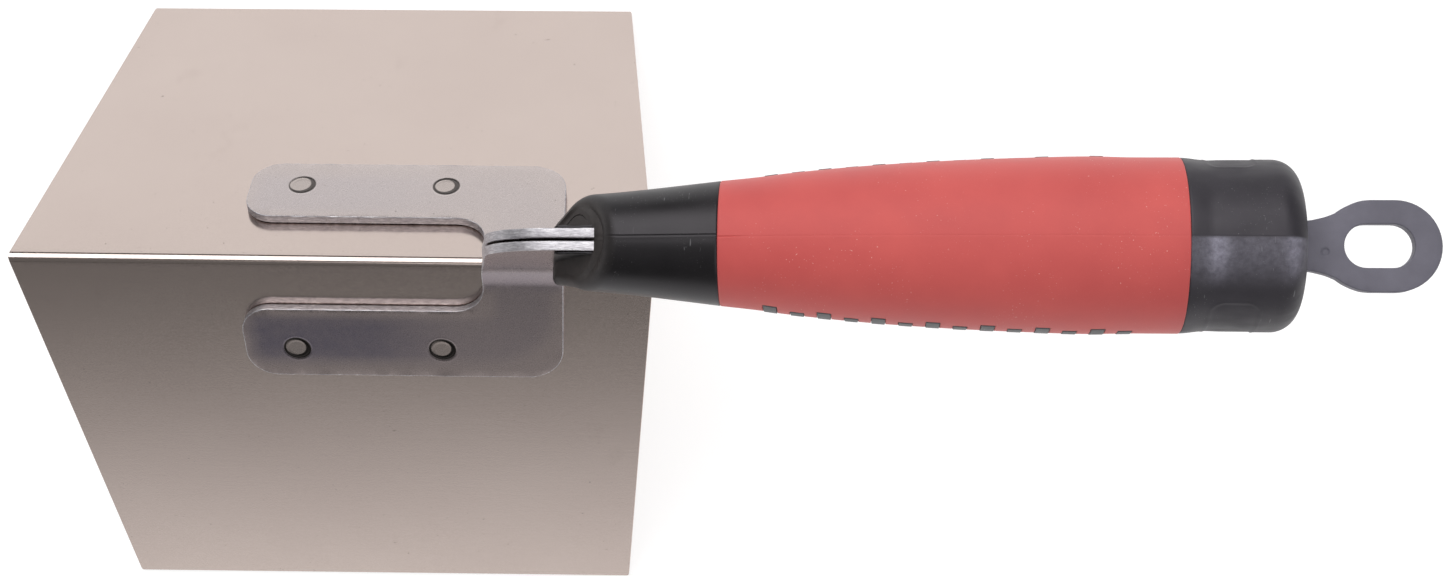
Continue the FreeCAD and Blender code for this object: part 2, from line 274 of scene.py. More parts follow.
def plate_piece(name, outer, holes, thick, bevel, locate, materials, extra=(), dent=None, pitch=2.4,
                roll=None, burr=0.0, mask=None, seat=0.0):
    """A plate cut to an outline, with eased edges. locate(x, y, h) gives each point's place.
    Slot 0 is the faces, slot 1 the cut edge. dent(x, y) lowers the upper face, roll is the
    rounding of the lower edge, seat how far the underside stands off, burr the ragged upper
    lip. extra points are added to the grid of the faces, and mask(p) shades them."""
    loops = [(outer, False)] + [(h, True) for h in holes]
    roll = roll or bevel
    levels = [(roll, seat), (0.3 * roll, seat + 0.3 * (roll - seat)), (0.0, roll),
              (0.0, thick - bevel), (0.3 * bevel, thick - 0.3 * bevel), (bevel, thick)]
    verts, faces, slots, ring_at, flat_at = [], [], [], [], []
    for loop, is_hole in loops:
        rings = []
        for off, h in levels:
            pts = inset(loop, off, is_hole) if off > 0 else loop
            rings.append(range(len(verts), len(verts) + len(pts)))
            ragged = burr if h > thick - 0.9 * bevel else 0.0
            for p in pts:
                lip = ragged * max(0.0, 0.35 + 1.6 * field.noise(Vector((p.x, p.y, 4.0)) * 0.9))
                verts.append(locate(p.x, p.y, h + lip * (1.0 if off < bevel else 0.3)))
                flat_at.append(p)
        ring_at.append(rings)
        n = len(loop)
        for k in range(len(levels) - 1):
            for i in range(n):
                j = (i + 1) % n
                faces.append((rings[k][i], rings[k][j], rings[k + 1][j], rings[k + 1][i]))
                slots.append(1)
    inner_loops = [inset(loop, bevel, is_hole) for loop, is_hole in loops]
    points, constraint = [], []
    for l in inner_loops:
        n, start = len(l), len(points)
        constraint.extend((start + i, start + (i + 1) % n) for i in range(n))
        points.extend(l)
    points += grid_points(outer, inner_loops, extra, pitch)
    out_v, _, out_f, orig_v, _, _ = delaunay_2d_cdt(points, constraint, [], 0, 1e-6)
    for level in (0, len(levels) - 1):      # the underside, then the upper face
        h = levels[level][1]
        known = [v for rings in ring_at for v in rings[level]]
        ids = []
        for q, orig in zip(out_v, orig_v):
            old = [o for o in orig if o < len(known)]
            if old:
                ids.append(known[old[0]])
                continue
            low = dent(q.x, q.y) if (level and dent) else 0.0
            ids.append(len(verts))
            verts.append(locate(q.x, q.y, h - low))
            flat_at.append(q)
        for f in out_f:
            c = sum((out_v[i] for i in f), Vector((0, 0))) / len(f)
            if inside(c, inner_loops[0]) and not any(inside(c, l) for l in inner_loops[1:]):
                faces.append(tuple(ids[i] for i in f))
                slots.append(0)
    obj = new_piece(name, verts, faces, materials, 50.0, slots)
    if mask:
        add_mask(obj, [mask(p) for p in flat_at])
    weighted_normals(obj)
    return obj


def arc_points(cx, cy, r, start, turn, steps):
    """Points along an arc, without its last one."""
    angles = [start + turn * k / steps for k in range(steps)]
    return [Vector((cx + r * math.cos(a), cy + r * math.sin(a))) for a in angles]


def ring_points(cx, cy, radii, count=40):
    pts = [Vector((cx, cy))]
    for r in radii:
        pts += arc_points(cx, cy, r, 0.0, 2 * math.pi, count)
    return pts


def skin_faces(rings, n):
    """Quads between closed rings of n points each."""
    return [(k * n + i, k * n + (i + 1) % n, (k + 1) * n + (i + 1) % n, (k + 1) * n + i)
            for k in range(rings - 1) for i in range(n)]


def tube_piece(name, rows, skin, sharp, closed=True):
    """Skins closed rings of points, all with the same count. Closed ends get a centre point."""
    n = len(rows[0])
    verts = [p for row in rows for p in row]
    faces = skin_faces(len(rows), n)
    for base in (0, (len(rows) - 1) * n) if closed else ():
        centre = sum((Vector(verts[base + i]) for i in range(n)), Vector()) / n
        verts.append(tuple(centre))
        faces.extend((base + i, base + (i + 1) % n, len(verts) - 1) for i in range(n))
    return new_piece(name, verts, faces, [skin], sharp)


# ---------- materials

def material(name, settings):
    """A new material with a principled shader: the material, its node tree, the shader."""
    m = bpy.data.materials.new(name)
    m.use_nodes = True
    nt = m.node_tree
    nt.nodes.clear()
    out = nt.nodes.new("ShaderNodeOutputMaterial")
    bsdf = nt.nodes.new("ShaderNodeBsdfPrincipled")
    nt.links.new(bsdf.outputs[0], out.inputs[0])
    for key, value in settings.items():
        bsdf.inputs[key].default_value = value
    return m, nt, bsdf


def coords(nt, scale=(1, 1, 1), rotation=(0, 0, 0)):
    tc = nt.nodes.new("ShaderNodeTexCoord")
    mp = nt.nodes.new("ShaderNodeMapping")
    mp.inputs["Scale"].default_value = scale
    mp.inputs["Rotation"].default_value = rotation
    nt.links.new(tc.outputs["Object"], mp.inputs["Vector"])
    return mp.outputs["Vector"]


def mask_value(nt):
    attr = nt.nodes.new("ShaderNodeAttribute")
    attr.attribute_name = "mask"
    return attr.outputs["Fac"]


def noise(nt, vector, scale, detail=4.0, rough=0.55):
    n = nt.nodes.new("ShaderNodeTexNoise")
    n.inputs["Scale"].default_value = scale
    n.inputs["Detail"].default_value = detail
    n.inputs["Roughness"].default_value = rough
    nt.links.new(vector, n.inputs["Vector"])
    return n.outputs["Fac"]


def ramp(nt, value, stops):
    r = nt.nodes.new("ShaderNodeValToRGB")
    els = r.color_ramp.elements
    while len(els) < len(stops):
        els.new(0.5)
    for el, (pos, col) in zip(els, stops):
        el.position = pos
        el.color = col if len(col) == 4 else (*col, 1.0)
    nt.links.new(value, r.inputs["Fac"])
    return r.outputs["Color"]


def grey(v):
    return (v, v, v, 1.0)


def remap(nt, value, lo, hi, to_lo, to_hi):
    n = nt.nodes.new("ShaderNodeMapRange")
    for key, v in (("From Min", lo), ("From Max", hi), ("To Min", to_lo), ("To Max", to_hi)):
        n.inputs[key].default_value = v
    nt.links.new(value, n.inputs["Value"])
    return n.outputs["Result"]


def feed(nt, socket, value):
    """Links a socket's output, or sets a plain value."""
    if hasattr(value, "is_output"):
        nt.links.new(value, socket)
    else:
        socket.default_value = value


def blend(nt, factor, a, b):
    """Mixes two colours. Sockets 0, 6, 7 and output 2 are the colour ones of a Mix node."""
    n = nt.nodes.new("ShaderNodeMix")
    n.data_type = "RGBA"
    for i, v in ((0, factor), (6, a), (7, b)):
        feed(nt, n.inputs[i], v)
    return n.outputs[2]


def bump(nt, bsdf, height, strength, distance, chain=None):
    b = nt.nodes.new("ShaderNodeBump")
    b.inputs["Strength"].default_value = strength
    b.inputs["Distance"].default_value = distance
    nt.links.new(height, b.inputs["Height"])
    if chain is not None:
        nt.links.new(chain, b.inputs["Normal"])
    nt.links.new(b.outputs["Normal"], bsdf.inputs["Normal"])
    return b.outputs["Normal"]


def math_node(nt, op, a, b):
    n = nt.nodes.new("ShaderNodeMath")
    n.operation = op
    feed(nt, n.inputs[0], a)
    feed(nt, n.inputs[1], b)
    return n.outputs[0]


def ring_mark(nt, position, at, shift, outer, inner):
    """A ring round a weld: between an outer circle and an inner one set off to a side.
    Gives the ring's mask and how far out of the outer circle each point is."""
    parts = []
    circles = ((at, outer, 0.08 * MM), (tuple(Vector(at) + Vector(shift)), inner, 0.10 * MM))
    for centre, radius, soft in circles:
        d = nt.nodes.new("ShaderNodeVectorMath")
        d.operation = "DISTANCE"
        d.inputs[1].default_value = centre
        nt.links.new(position, d.inputs[0])
        parts.append(remap(nt, d.outputs["Value"], radius - soft, radius + soft, 0.0, 1.0))
    ring = math_node(nt, "MULTIPLY", math_node(nt, "SUBTRACT", 1.0, parts[0]), parts[1])
    return ring, parts[0]


SMUDGE_BROWN = (0.36, 0.29, 0.25, 1.0)
STEEL_DIRT = (0.20, 0.17, 0.15, 1.0)
HEAT_TINT = (0.42, 0.36, 0.30, 1.0)


def steel(name, tint, dark, rough_lo, rough_hi, marks=(), band=None, smudge=0.0):
    """Rolled sheet: a slow cloud from dark to tint, fine grain, dirt specks and scratches.
    marks are the weld spots, band the colour of the darker band in the mask, which over the bracket's
    bend is painted shade."""
    m, nt, bsdf = material(name, {"Metallic": 1.0})
    v = coords(nt)
    cloud = noise(nt, v, 38.0, 5.0)
    fine = noise(nt, v, 2600.0, 3.0, 0.7)
    colour = ramp(nt, cloud, [(0.3, dark), (0.7, tint)])
    rough = remap(nt, fine, 0.3, 0.7, rough_lo, rough_hi)
    # band paints a darker band along the arm, and painted shade over the bracket's bend, where the mask
    # is set
    if band:
        mask_weight = mask_value(nt)
        mottle = remap(nt, noise(nt, v, 420.0, 4.0, 0.7), 0.3, 0.7, 0.78, 1.0)
        colour = blend(nt, math_node(nt, "MULTIPLY", mask_weight, mottle), colour, band)
    if smudge:
        spots = ramp(nt, noise(nt, coords(nt, scale=(1.0, 0.55, 0.55)), 95.0, 3.0, 0.6),
                     [(0.66, grey(0.0)), (0.80, grey(smudge))])
        colour = blend(nt, spots, colour, SMUDGE_BROWN)
    dirt = ramp(nt, noise(nt, v, 1300.0, 2.0, 0.5), [(0.735, grey(0.0)), (0.77, grey(0.55))])
    colour = blend(nt, dirt, colour, STEEL_DIRT)
    pos = nt.nodes.new("ShaderNodeTexCoord").outputs["Object"]
    for at, shift, outer, inner, heat, ring_colour in marks:
        ring, outside = ring_mark(nt, pos, at, shift, outer, inner)
        halo = ramp(nt, outside, [(0.0, grey(heat)), (1.0, grey(0.0))])
        colour = blend(nt, halo, colour, HEAT_TINT)
        colour = blend(nt, ring, colour, ring_colour)
    nt.links.new(colour, bsdf.inputs["Base Color"])
    nt.links.new(rough, bsdf.inputs["Roughness"])
    scratch_v = coords(nt, scale=(60.0, 900.0, 900.0), rotation=(0.0, 0.3, 0.5))
    scratches = noise(nt, scratch_v, 1.6, 2.0)
    first = bump(nt, bsdf, fine, 0.16, 0.02 * MM)
    bump(nt, bsdf, scratches, 0.05, 0.02 * MM, first)
    return m


def sheared_edge():
    """Cut steel: fine lengthwise ridges with a torn, brighter strip."""
    m, nt, bsdf = material("cut_edge_steel", {"Metallic": 1.0})
    v = coords(nt)
    along = coords(nt, scale=(0.12, 1.0, 0.12))
    ridges = noise(nt, along, 5200.0, 3.0, 0.7)
    torn = noise(nt, v, 1500.0, 4.0, 0.7)
    colour = ramp(nt, ridges, [
        (0.25, (0.30, 0.29, 0.31)), (0.5, (0.52, 0.50, 0.53)), (0.72, (0.80, 0.79, 0.80))])
    flecks = ramp(nt, torn, [(0.30, grey(0.55)), (0.42, grey(0.0))])
    colour = blend(nt, flecks, colour, (0.20, 0.18, 0.17, 1.0))
    nt.links.new(colour, bsdf.inputs["Base Color"])
    nt.links.new(remap(nt, torn, 0.3, 0.7, 0.38, 0.62), bsdf.inputs["Roughness"])
    first = bump(nt, bsdf, ridges, 0.5, 0.06 * MM)
    bump(nt, bsdf, torn, 0.35, 0.08 * MM, first)
    return m


DUST = (0.30, 0.30, 0.31, 1.0)
FACE_ROUGHER = 0.22


def plastic(name, base, light, rough_lo, rough_hi, speck=0.4, grain=0.12, specular=0.5,
            streak=0.0, face=None):
    """Moulded plastic, mottled from base to light, with dust specks and hairs in patches.
    face is the pair of colours where the mask is set; on the cap they paint a pale film, partly scuffing
    and partly painted sheen."""
    m, nt, bsdf = material(name, {
        "Specular IOR Level": specular, "Specular Tint": (1.0, 0.94, 1.0, 1.0)})
    v = coords(nt)
    cloud = noise(nt, v, 140.0, 5.0)
    colour = ramp(nt, cloud, [(0.35, base), (0.75, light)])
    dust = noise(nt, v, 4300.0, 2.0, 0.4)
    patch = noise(nt, v, 110.0, 1.0)
    specks = math_node(nt, "MULTIPLY", ramp(nt, dust, [(0.70, grey(0.0)), (0.76, grey(speck))]),
                       remap(nt, patch, 0.45, 0.65, 0.0, 1.0))
    along = coords(nt, scale=(1.0, 0.16, 0.16), rotation=(0.0, 0.4, 0.7))
    hairs = ramp(nt, noise(nt, along, 2600.0, 1.0, 0.3), [(0.75, grey(0.0)), (0.78, grey(0.7 * speck))])
    hairs = math_node(nt, "MULTIPLY", hairs, remap(nt, patch, 0.5, 0.62, 0.0, 1.0))
    colour = blend(nt, math_node(nt, "MAXIMUM", specks, hairs), colour, DUST)
    rough = remap(nt, cloud, 0.3, 0.7, rough_lo, rough_hi)
    if face:
        face_mask = mask_value(nt)
        face_tone = ramp(nt, noise(nt, v, 900.0, 4.0, 0.7), [(0.3, face[0]), (0.7, face[1])])
        colour = blend(nt, face_mask, colour, face_tone)
        rough = math_node(nt, "ADD", rough, remap(nt, face_mask, 0.0, 1.0, 0.0, FACE_ROUGHER))
    nt.links.new(colour, bsdf.inputs["Base Color"])
    if streak:
        wiped = noise(nt, coords(nt, scale=(1.0, 1.0, 3.0)), 95.0, 3.0, 0.6)
        rough = math_node(nt, "ADD", rough, remap(nt, wiped, 0.4, 0.62, -streak, streak))
    nt.links.new(rough, bsdf.inputs["Roughness"])
    bump(nt, bsdf, noise(nt, v, 3400.0, 2.0), grain, 0.04 * MM)
    return m


def red_rubber():
    """Matt red rubber with a faint sheen, pale dust and a light peel."""
    m, nt, bsdf = material("grip_red", {
        "Specular IOR Level": 0.35, "Sheen Weight": 0.18, "Sheen Roughness": 0.5,
        "Sheen Tint": (1.0, 0.85, 0.82, 1.0)})
    v = coords(nt)
    cloud = noise(nt, v, 60.0, 5.0)
    colour = ramp(nt, cloud, [(0.3, (0.555, 0.080, 0.076)), (0.7, (0.64, 0.104, 0.095))])
    dust = noise(nt, v, 3300.0, 2.0, 0.4)
    specks = math_node(nt, "MULTIPLY", ramp(nt, dust, [(0.71, grey(0.0)), (0.76, grey(0.7))]),
                       remap(nt, noise(nt, v, 90.0, 1.0), 0.45, 0.62, 0.0, 1.0))
    colour = blend(nt, specks, colour, (0.80, 0.60, 0.54, 1.0))
    nt.links.new(colour, bsdf.inputs["Base Color"])
    nt.links.new(remap(nt, cloud, 0.3, 0.7, 0.52, 0.64), bsdf.inputs["Roughness"])
    peel = noise(nt, v, 1900.0, 3.0)
    first = bump(nt, bsdf, peel, 0.22, 0.06 * MM)
    slow = noise(nt, v, 120.0, 2.0)
    bump(nt, bsdf, slow, 0.10, 0.6 * MM, first)
    return m


WELD_R, WELD_S = 2.6, 21.4         # a plug's radius, and its distance from the fold along the leaf
weld_lo, weld_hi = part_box("leaf_welds")
weld_x = (weld_lo[0] + WELD_R * MM, weld_hi[0] - WELD_R * MM)
WELD_LOCAL = [(x - X0) / MM for x in weld_x]
weld_y = (WELD_S + SEAT_GAP + PLATE_T) * C45 * MM
weld_z = Z0 + (-WELD_S + SEAT_GAP + PLATE_T) * C45 * MM
PALE_RING, DARK_RING = (0.105, 0.092, 0.088, 1.0), (0.022, 0.019, 0.018, 1.0)


def marks_on(side, ring_colour, spots):
    """Weld marks for steel(): centre, where the inner circle sits off it, the outer and inner
    radius, the heat tint inside and the ring's colour, in metres."""
    return [((x, side * weld_y, weld_z), shift, 0.00275, inner, heat, ring_colour)
            for x, (shift, inner, heat) in zip(weld_x, spots)]


marks_left = marks_on(1, PALE_RING, (((-0.00045, 0.00024, -0.00024), 0.00215, 0.35),
                                     ((-0.00030, 0.00012, -0.00012), 0.00196, 0.30)))
marks_right = marks_on(-1, DARK_RING, (((-0.00030, 0.00012, 0.00012), 0.00200, 0.50),
                                       ((-0.00026, 0.00014, 0.00014), 0.00200, 0.40)))

blade_steel = steel("blade_steel", (0.580, 0.490, 0.450), (0.560, 0.470, 0.432), 0.15, 0.20, smudge=0.16)
plate_left = steel("plate_steel_left", (0.57, 0.505, 0.49), (0.54, 0.475, 0.46), 0.24, 0.32,
                   marks=marks_left, band=(0.53, 0.475, 0.475, 1.0))
# painted shade: the right plate is the same steel as the left, given a darker tint and band for the side
# turned away from the main lamp
plate_right_shaded = steel("plate_steel_right_shaded", (0.355, 0.297, 0.288), (0.325, 0.273, 0.265), 0.24, 0.32,
                    marks=marks_right, band=(0.172, 0.153, 0.188, 1.0))
cut_steel = sheared_edge()
core_black = plastic("core_black", (0.0015, 0.0013, 0.0015), (0.004, 0.0035, 0.0042), 0.35, 0.42,
                     specular=0.46, face=((0.017, 0.0145, 0.013), (0.034, 0.029, 0.026)))
# the cap's face colours paint a pale film beside the top mould line on the right flank: partly scuffing,
# partly painted sheen
cap_black = plastic("cap_black", (0.019, 0.0175, 0.022), (0.027, 0.0245, 0.031), 0.46, 0.54,
                    streak=0.06, face=((0.13, 0.125, 0.158), (0.28, 0.27, 0.33)))
# painted sheen: the tab is black plastic, and its grey base stands in for the light its flat, grained
# face catches
tab_black = plastic("tab_black", (0.115, 0.112, 0.140), (0.155, 0.150, 0.185), 0.50, 0.62,
                    speck=0.15, grain=0.45)
inlay_grey = plastic("inlay_grey", (0.085, 0.085, 0.085), (0.12, 0.12, 0.12), 0.45, 0.6)
grip_red = red_rubber()


# ---------- blade

def fold_drift(x, y):
    """Sideways wander of the fold line, dying out towards the long edges."""
    return -FOLD_DRIFT * (x / RIDGE_LEN) * (1.0 - abs(y) / (LEAF_WIDTH * C45))


LEAF_STEPS, BEND_STEPS = 14, 14
CORNER_EASE, CORNER_REACH = 0.22, 0.7      # how the sheet's corners are rubbed back


def blade_piece():
    """The bent sheet: one section of (y, z, normal y, normal z), swept from front to rear."""
    w = LEAF_WIDTH * C45
    along = [LEAF_WIDTH - d for d in (0.0, 0.15, 0.35, CORNER_REACH)]
    along += [LEAF_WIDTH * k / LEAF_STEPS for k in range(LEAF_STEPS - 1, 0, -1)] + [BEND_R * 1.6]
    section = [(s * C45, -s * C45, C45, C45) for s in along]
    centre = -BEND_R * math.sqrt(2.0)
    for k in range(BEND_STEPS + 1):
        a = math.radians(45.0 - 90.0 * k / BEND_STEPS)
        section.append((BEND_R * math.sin(a), centre + BEND_R * math.cos(a), math.sin(a), math.cos(a)))
    section += [(-y, z, -ny, nz) for y, z, ny, nz in reversed(section[:len(along)])]
    steps = [0.0, 0.004, 0.02] + [k / 20 for k in range(1, 20)] + [0.98, 0.996, 1.0]
    rows = []
    for u in steps:
        ring = []
        for depth in (0.0, BLADE_T):
            row = []
            for y, z, ny, nz in section:
                ease = CORNER_EASE * max(0.0, 1.0 - (w - abs(y)) / C45 / CORNER_REACH) ** 2
                front = FRONT_SLANT * abs(y) / w + ease
                rear = RIDGE_LEN - REAR_SLANT * abs(y) / w - ease
                x = front + (rear - front) * u
                yy = y + fold_drift(x, y) + math.copysign(SPREAD * (abs(y) / w), y)
                row.append(place(x - END_SKEW * y, yy - depth * ny, z - depth * nz))
            ring += row if depth == 0.0 else list(reversed(row))
        rows.append(ring)
    n = len(section)
    m = 2 * n
    verts = [p for r in rows for p in r]
    faces = skin_faces(len(rows), m)
    for base in (0, (len(rows) - 1) * m):
        for i in range(n - 1):
            faces.append((base + i, base + i + 1, base + m - 2 - i, base + m - 1 - i))
    obj = new_piece("blade_sheet", verts, faces, [blade_steel], 50.0)
    bev = obj.modifiers.new("ease", "BEVEL")
    bev.width = 0.10 * MM
    bev.segments = 2
    bev.limit_method = "ANGLE"
    bev.angle_limit = math.radians(50)
    weighted_normals(obj)
    return obj


# ---------- bracket

TOP = SEAT_GAP + PLATE_T                             # height of an arm's face over the leaf
Y_OUT = TANG_GAP / 2.0 + PLATE_T                     # outer face of a tang plate
BEND_Z = 2 * TOP * C45 - Y_OUT + ROOT_BEND_R * math.tan(math.radians(22.5))
BEND_Y = Y_OUT + ROOT_BEND_R
BEND_START = (BEND_Y - BEND_Z) * C45                 # distance from the fold where the bend begins
BEND_ARC = (ROOT_BEND_R + PLATE_T / 2.0) * math.radians(45.0)


def tang_u(z):
    """Developed position of a height on the tang."""
    return BEND_START - BEND_ARC - (z - BEND_Z)


def fold_up(x, u, h, side):
    """From the flat bracket blank, u across and h through it, to its bent shape."""
    drift = fold_drift(x, u * C45) * smoothstep(BEND_START - BEND_ARC, BEND_START, u)
    if u >= BEND_START:
        lift = SEAT_GAP + h
        return place(x, side * (u + lift) * C45 + drift, (-u + lift) * C45)
    r = ROOT_BEND_R + PLATE_T - h
    if u >= BEND_START - BEND_ARC:
        a = math.radians(45.0) * (1.0 - (BEND_START - u) / BEND_ARC)
        return place(x, side * (BEND_Y - r * math.cos(a)) + drift, BEND_Z - r * math.sin(a))
    z = BEND_Z + (BEND_START - BEND_ARC - u)
    return place(x, side * (BEND_Y - r), z)


SPOT_RINGS = (0.9, 1.5, 1.9, 2.1, 2.3, 2.5, 2.7, 2.95, 3.2, 3.6)


def weld_dent(x, u):
    """Depth of a weld spot: a shallow pad, a pressed ring round it and a lip outside."""
    low = 0.0
    for wx in WELD_LOCAL:
        r = math.hypot(x - wx, u - WELD_S)
        if r < SPOT_RINGS[-1]:
            low = 0.05 * (1 - smoothstep(1.9, 2.3, r))
            low += 0.10 * math.exp(-((r - 2.5) / 0.22) ** 2)
            low -= 0.012 * math.exp(-((r - 2.95) / 0.2) ** 2)
    return low


def to_segment(p, a, b):
    """Distance of a point from a line segment."""
    t = max(0.0, min(1.0, (p - a).dot(b - a) / (b - a).length_squared))
    return (p - a - (b - a) * t).length


def band_and_bend_shade(p):
    """A broad darker band that follows the arm and turns up into the tang, with painted shade over the
    bend to dull its reflection.
    """
    a, b, c = Vector((ARM_FRONT, ARM_INNER)), Vector((CROTCH_X, ARM_INNER)), Vector((CROTCH_X, -40.0))
    d = min(to_segment(p, a, b), to_segment(p, b, c))
    band = smoothstep(0.4, 3.6, d) * (1.0 - smoothstep(11.0, 15.5, d))
    band *= 1.0 - 0.65 * smoothstep(66.0, 90.0, p.x)
    band *= smoothstep(ARM_FRONT - 0.5, ARM_FRONT + 3.5, p.x) * smoothstep(-13.0, -3.0, p.y)
    # painted shade over the bend, to dull the bright reflection of the fill lamp there
    bend = smoothstep(-4.0, 0.5, p.y) * (1.0 - smoothstep(4.0, 6.5, p.y))
    return max(band, 0.6 * bend)


TANG_REAR = 126.0


def bracket_piece(name, side, face_material):
    """One plate, cut flat and folded: an arm on the leaf and half of the tang."""
    blank = [
        (BRACKET_REAR - 1.1, ARM_OUTER, 7.5),
        (ARM_FRONT, ARM_OUTER, ARM_CORNER_R),
        (ARM_FRONT, ARM_INNER, ARM_CORNER_R),
        (CROTCH_X, ARM_INNER, CROTCH_R),
        (CROTCH_X, BEND_START - 0.45 * BEND_ARC, 10.0),
        (98.8, tang_u(38.0), 14.0),
        (114.0, tang_u(39.0), 0),
        (TANG_REAR, tang_u(39.5), 0),
        (TANG_REAR, tang_u(axis_z(TANG_REAR) - TANG_HALF_H), 0),
        (118.0, tang_u(axis_z(118.0) - TANG_HALF_H), 6.0),
        (BRACKET_REAR + 0.9, tang_u(12.0), 8.0),
    ]
    extra = []
    for wx in WELD_LOCAL:
        extra += ring_points(wx, WELD_S, SPOT_RINGS)
    x = CROTCH_X + 0.9
    while x < BRACKET_REAR - 0.5:
        extra.extend(Vector((x, BEND_START - BEND_ARC * k / 14)) for k in range(15))
        x += 1.6
    return plate_piece(name, rounded_outline(blank), [], PLATE_T, 0.16,
                       lambda px, pu, h: fold_up(px, pu, h, side), [face_material, cut_steel],
                       extra, weld_dent, 1.8, roll=0.4, burr=0.07, mask=band_and_bend_shade, seat=0.12)


# ---------- handle

# The nose's section along x: its radius, and how far its flat underside drops below the circle
NOSE = (
    (103.0, 8.0, 14.5),
    (109.0, 8.2, 12.4),
    (115.0, 8.55, 9.0),
    (121.0, 9.0, 5.2),
    (127.0, 9.6, 2.2),
    (133.0, 10.3, 0.5),
    (140.6, 11.2, 0.0),
)
# The grip's radius along x
GRIP = (
    (140.6, 11.2), (147.2, 11.9), (152.5, 12.6), (163.2, 13.7), (173.8, 14.5), (184.5, 15.1),
    (195.1, 15.5), (205.8, 15.75), (214.0, 15.6), (221.7, 15.6),
)
SEAM_STEPS = (0.0, 0.3, 0.6, 0.9, 1.3, 2.0)          # degrees each side of a mould line


def round_angles(count):
    """Angles round the axis with closer steps at the mould line above and below."""
    angles = set()
    for i in range(count):
        a = 360.0 * i / count
        if min(abs(a - 90.0), abs(a - 270.0)) > 2.4:
            angles.add(round(a, 4))
    for mid in (90.0, 270.0):
        for d in SEAM_STEPS:
            angles |= {round(mid + d, 4), round(mid - d, 4)}
    return [math.radians(a) for a in sorted(angles)]


def seam(a, radius, depth):
    """Mould line: a fine groove with a slight lip on each side."""
    away = min(abs(math.degrees(a) - 90.0), abs(math.degrees(a) - 270.0)) * radius * math.pi / 180.0
    return -depth * math.exp(-(away / 0.09) ** 2) + 0.35 * depth * math.exp(-((away - 0.28) / 0.10) ** 2)


FULL_DROP = 5.0          # the drop from which the flat has its full width


def nose_radius(x, a):
    """Skin of the nose about the axis: round, tapering down to a narrow flat."""
    radius = smooth_table(NOSE, x, 1)
    drop = smooth_table(NOSE, x, 2)
    c, s = math.cos(a), math.sin(a)
    reach = radius
    if s < 0:
        deep = radius + drop
        half = CHIN_HALF * min(1.0, drop / FULL_DROP)
        corner = math.atan2(deep, half)
        tangent = corner - math.acos(radius / math.hypot(half, deep))
        below = math.atan2(-s, abs(c))
        if below > corner:
            reach = -deep / s
        elif below > tangent:
            reach = radius / math.cos(below - tangent)
    reach += seam(a, radius, 0.07)
    return reach * c, reach * s


def nose_point(x, a):
    """Skin of the nose about the axis, turned a little on the tang and level at the chin."""
    y, z = nose_radius(x, a)
    roll = NOSE_ROLL * (1.0 - 0.72 * smoothstep(110.0, 124.0, x))
    c, s = math.cos(roll), math.sin(roll)
    low = (CHIN_Z - axis_z(x)) / math.cos(AXIS_RISE)
    return y * c + z * s, max(z * c - y * s, low)


FRONT_PLANES = ((CHIN_X, CHIN_Z, KNEE_X, KNEE_Z), (KNEE_X, KNEE_Z, FACE_X, FACE_Z))
RIM_R = 2.0


def front_x(z, behind):
    """Where the front face, moved back by behind, lies at a height about the axis."""
    c, s = math.cos(AXIS_RISE), math.sin(AXIS_RISE)
    found = -1000.0
    for x0, z0, x1, z1 in FRONT_PLANES:
        tx, tz = x1 - x0, z1 - z0
        run = behind * math.hypot(tx, tz) + (x0 - AXIS_X + z * s) * tz + (AXIS_Z + z * c - z0) * tx
        found = max(found, AXIS_X + run / (c * tz - s * tx))
    return found


def face_x(a, behind):
    """Where the skin at an angle meets that face."""
    x = KNEE_X
    for _ in range(24):
        x = front_x(nose_point(x, a)[1], behind)
    return x


def rim_point(a, turn):
    """Rounded rim between the front face (turn 0) and the side (turn 90 degrees)."""
    x = face_x(a, RIM_R * (1.0 - math.cos(turn)))
    y, z = nose_point(x, a)
    y0, z0 = nose_point(x, a - 0.02)
    y1, z1 = nose_point(x, a + 0.02)
    length = max(1e-6, math.hypot(y1 - y0, z1 - z0))
    pull = RIM_R * (1.0 - math.sin(turn)) * (0.35 if math.sin(a) < -0.85 else 1.0)
    return x, y - pull * (z1 - z0) / length, z + pull * (y1 - y0) / length


FACE_RINGS = (0.1, 0.3, 0.5, 0.66, 0.748, 0.762, 0.776, 0.79, 0.804, 0.88, 0.95)
GROOVE_RING, GROOVE_DEEP = 0.776, 0.32
BODY_ROWS, MOUTH_EASE = 46, 0.12


def nose_piece():
    """The moulded nose: front face from its middle out, rim, body, then the hidden spindle."""
    angles = round_angles(120)
    rings = [[rim_point(a, math.radians(15.0 * k)) for a in angles] for k in range(7)]
    rim = rings[0]
    heart = Vector((sum(p[0] for p in rim), 0.0, sum(p[2] for p in rim))) / len(rim)
    inner = []
    for g in FACE_RINGS:
        ring = []
        for p in rim:
            q = heart + (Vector(p) - heart) * g
            q.x = front_x(q.z, 0.0)
            if g == GROOVE_RING:                      # a short moulded groove on the left
                near = smoothstep(2.0, 3.0, q.y) * smoothstep(-6.5, -4.5, q.z)
                q.x += GROOVE_DEEP * near * (1 - smoothstep(2.5, 4.0, q.z))
            ring.append(q)
        inner.append(ring)
    body = []
    for k in range(1, BODY_ROWS + 1):
        ring = []
        for a in angles:
            start = face_x(a, RIM_R)
            x = start + (NOSE_REAR - MOUTH_EASE - start) * (k / BODY_ROWS)
            ring.append((x, *nose_point(x, a)))
        body.append(ring)
    rows = [[place_axis(*p) for p in ring] for ring in inner + rings + body]
    shrink = 1 - MOUTH_EASE / NOSE[-1][1]
    mouth = [nose_radius(NOSE_REAR, a) for a in angles]
    rows.append([place_axis(NOSE_REAR, y * shrink, z * shrink) for y, z in mouth])
    for x in (NOSE_REAR, NOSE_REAR + 8.0):
        rows.append([about_axis(x, SPINDLE_R, a) for a in angles])
    obj = tube_piece("core_nose", rows, core_black, 50.0)
    mask_weight = [1.0] * len(inner) + [1.0 - 0.14 * k for k in range(len(rings))]
    mask_weight += [0.0] * (len(rows) - len(mask_weight))
    add_mask(obj, [w for w in mask_weight for _ in angles] + [1.0, 0.0])
    return obj


